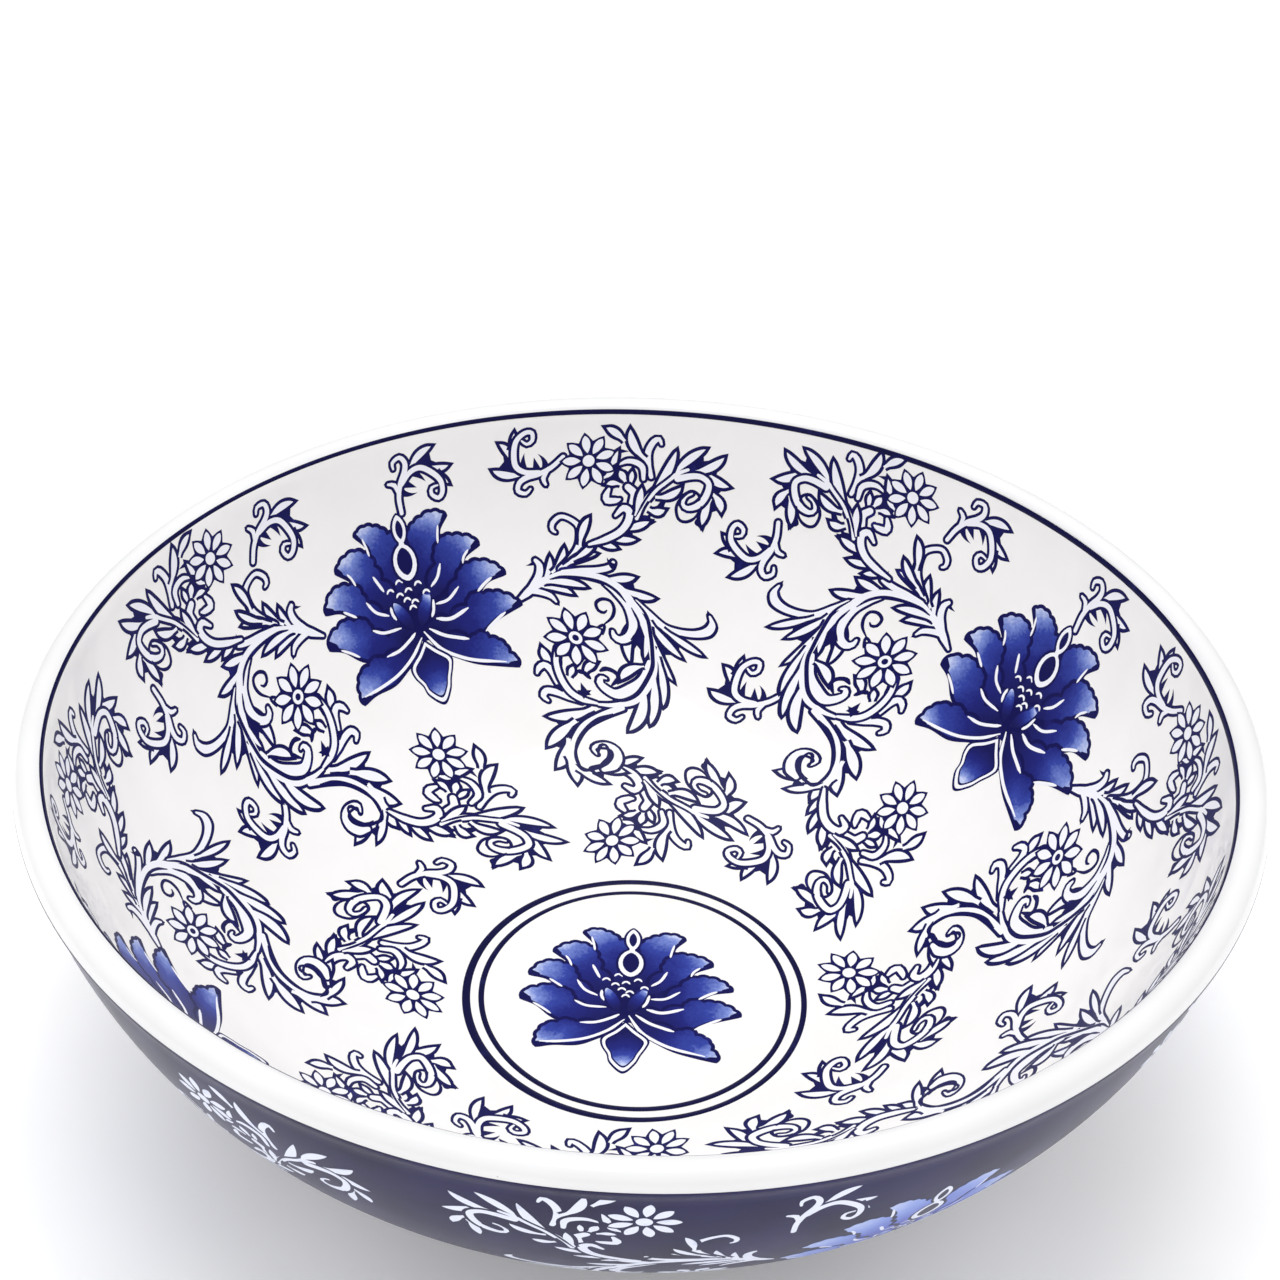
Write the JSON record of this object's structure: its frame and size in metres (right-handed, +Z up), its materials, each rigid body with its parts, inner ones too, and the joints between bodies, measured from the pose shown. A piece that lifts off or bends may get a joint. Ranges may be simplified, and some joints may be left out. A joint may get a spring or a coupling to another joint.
{
  "type": "porcelain serving bowl",
  "caption": "Deep round porcelain serving bowl on a foot ring, with a rolled white rim, a white inside with cobalt lotus scrolls, and a cobalt outside.",
  "frame": {"origin": "middle of the foot ring's standing plane", "axes": "+Z up along the bowl's axis of revolution; +X to the right and +Y away, seen from the front"},
  "size_m": [0.406, 0.406, 0.15],
  "materials": {
    "biscuit_porcelain": "fired porcelain under its glazes",
    "bare_foot": "unglazed, rubbed smooth",
    "white_glaze": "glossy warm white glaze",
    "rim_glaze": "glossy pure white glaze",
    "cobalt_glaze": "glossy dark cobalt ground",
    "cobalt_line": "hand-banded cobalt under gloss glaze",
    "lotus_wash": "cobalt wash that pales to the petal tips",
    "scroll_print": "cobalt outline print with white leaves",
    "white_print": "white leaves on the cobalt ground",
    "pale_lotus_wash": "pale blue wash on the cobalt ground"
  },
  "bodies": {
    "root": {"porcelain_body": "biscuit_porcelain", "rolled_rim": "rim_glaze", "foot_ring": "bare_foot", "liner_glaze": "white_glaze", "cobalt_ground": "cobalt_glaze", "base_glaze": "white_glaze", "rim_line": "cobalt_line", "medallion_outer_ring": "cobalt_line", "medallion_inner_ring": "cobalt_line", "medallion_lotus": "lotus_wash", "wall_lotuses": "lotus_wash", "left_scrolls": "scroll_print", "right_scrolls": "scroll_print", "rim_sprays": "scroll_print", "floor_sprays": "scroll_print", "sprigs": "scroll_print", "outer_lotuses": "pale_lotus_wash", "outer_scrolls": "white_print"}
  },
  "joints": []
}
